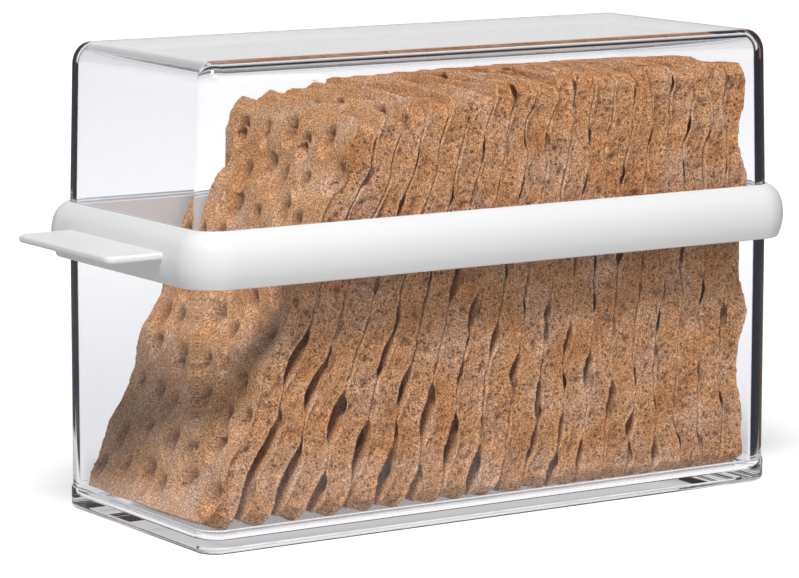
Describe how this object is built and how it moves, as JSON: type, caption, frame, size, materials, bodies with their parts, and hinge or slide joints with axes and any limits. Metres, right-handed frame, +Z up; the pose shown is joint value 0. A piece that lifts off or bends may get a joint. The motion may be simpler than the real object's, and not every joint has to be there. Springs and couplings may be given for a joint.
{
  "type": "crispbread container",
  "caption": "Clear rectangular keeper for crispbread: clear tub, lift-off lid with a white ring, a lifting tab and a clear cover, filled with upright leaning slices.",
  "frame": {"origin": "on the table, under the middle of the whole object, tab included", "axes": "+X along the length away from the tab, +Y across the width, +Z up; the long front side faces -Y"},
  "size_m": [0.2006, 0.0836, 0.122],
  "materials": {
    "clear_plastic": "clear polished moulded plastic",
    "white_plastic": "satin moulded plastic",
    "seal_rubber": "soft matt",
    "crispbread": "dry baked bread, dimpled faces and porous cut edges"
  },
  "bodies": {
    "tub": {"tub": "clear_plastic", "crispbread_01": "crispbread", "crispbread_02": "crispbread", "crispbread_03": "crispbread", "crispbread_04": "crispbread", "crispbread_05": "crispbread", "crispbread_06": "crispbread", "crispbread_07": "crispbread", "crispbread_08": "crispbread", "crispbread_09": "crispbread", "crispbread_10": "crispbread", "crispbread_11": "crispbread", "crispbread_12": "crispbread", "crispbread_13": "crispbread", "crispbread_14": "crispbread", "crispbread_15": "crispbread", "crispbread_16": "crispbread", "crispbread_17": "crispbread", "crispbread_18": "crispbread", "crispbread_19": "crispbread"},
    "lid": {"lid_ring": "white_plastic", "cover": "clear_plastic", "lid_seal": "seal_rubber"}
  },
  "joints": [
    {"name": "lid_lift", "type": "slide", "parent": "tub", "child": "lid", "axis": [0, 0, 1], "range_m": [0, 0.06]}
  ]
}
